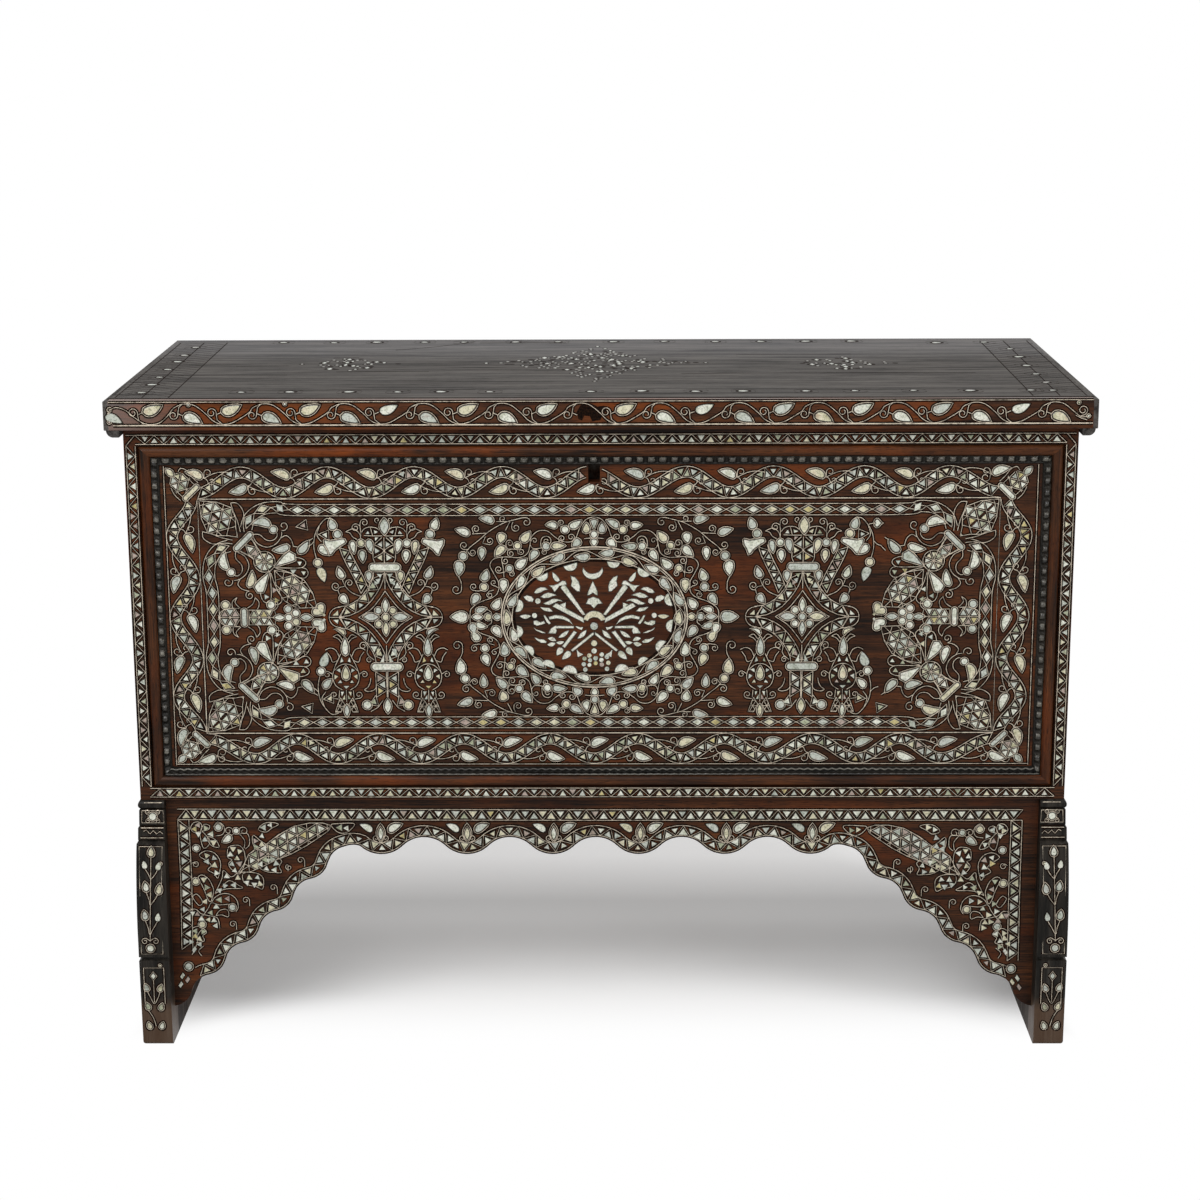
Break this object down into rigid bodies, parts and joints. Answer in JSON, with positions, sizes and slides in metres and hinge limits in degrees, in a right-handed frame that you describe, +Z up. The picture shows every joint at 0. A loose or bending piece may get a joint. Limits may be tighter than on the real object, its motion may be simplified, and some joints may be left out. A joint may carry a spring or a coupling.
{
  "type": "dowry chest",
  "caption": "Walnut dowry chest on slab feet with a hinged lid, recessed inlaid front, ripple mouldings and a scalloped apron.",
  "frame": {"origin": "centre of the chest's footprint, on the floor", "axes": "+X to the chest's right-hand end seen from the front, front faces -Y, +Z up"},
  "size_m": [1.4, 0.62, 0.975],
  "materials": {
    "walnut": "waxed, satin",
    "worn_walnut": "worn, dull",
    "ebonised_walnut": "blackened, satin",
    "plain_wood": "bare, dry",
    "forged_iron": "dark, lightly rusted"
  },
  "bodies": {
    "case": {"left_end_board": "walnut", "right_end_board": "walnut", "front_board": "walnut", "back_board_lower": "plain_wood", "back_board_middle": "plain_wood", "back_board_upper": "plain_wood", "bottom_board_front": "plain_wood", "bottom_board_middle": "plain_wood", "bottom_board_back": "plain_wood", "front_ledger": "plain_wood", "back_ledger": "plain_wood", "left_ledger": "plain_wood", "right_ledger": "plain_wood", "top_rail": "walnut", "bottom_rail": "walnut", "left_stile": "walnut", "right_stile": "walnut", "top_moulding": "walnut", "bottom_moulding": "walnut", "left_moulding": "walnut", "right_moulding": "walnut", "top_ripple": "ebonised_walnut", "bottom_ripple": "ebonised_walnut", "left_ripple": "ebonised_walnut", "right_ripple": "ebonised_walnut", "apron": "walnut", "apron_blocks": "plain_wood", "left_foot_console": "ebonised_walnut", "right_foot_console": "ebonised_walnut", "left_hinge_leaf": "forged_iron", "right_hinge_leaf": "forged_iron", "left_hinge_pin": "forged_iron", "right_hinge_pin": "forged_iron", "leaf_nails": "forged_iron", "lock_case": "forged_iron", "bolt_guides": "forged_iron", "till_bottom": "plain_wood", "till_wall": "plain_wood"},
    "lid": {"lid_board_front": "worn_walnut", "lid_board_middle": "worn_walnut", "lid_board_back": "worn_walnut", "lid_front_rim": "walnut", "left_lid_edging": "worn_walnut", "right_lid_edging": "worn_walnut", "left_lid_cleat": "worn_walnut", "right_lid_cleat": "worn_walnut", "left_hinge_strap": "forged_iron", "right_hinge_strap": "forged_iron", "strap_nails": "forged_iron"},
    "lock_bolt": {"lock_bolt": "forged_iron"}
  },
  "joints": [
    {"name": "lid_hinge", "type": "hinge", "parent": "case", "child": "lid", "pos_m": [0, 0.3025, 0.945], "axis": [-1, 0, 0], "range_deg": [0, 100]},
    {"name": "bolt_slide", "type": "slide", "parent": "case", "child": "lock_bolt", "axis": [1, 0, 0], "range_m": [0, 0.024]}
  ]
}
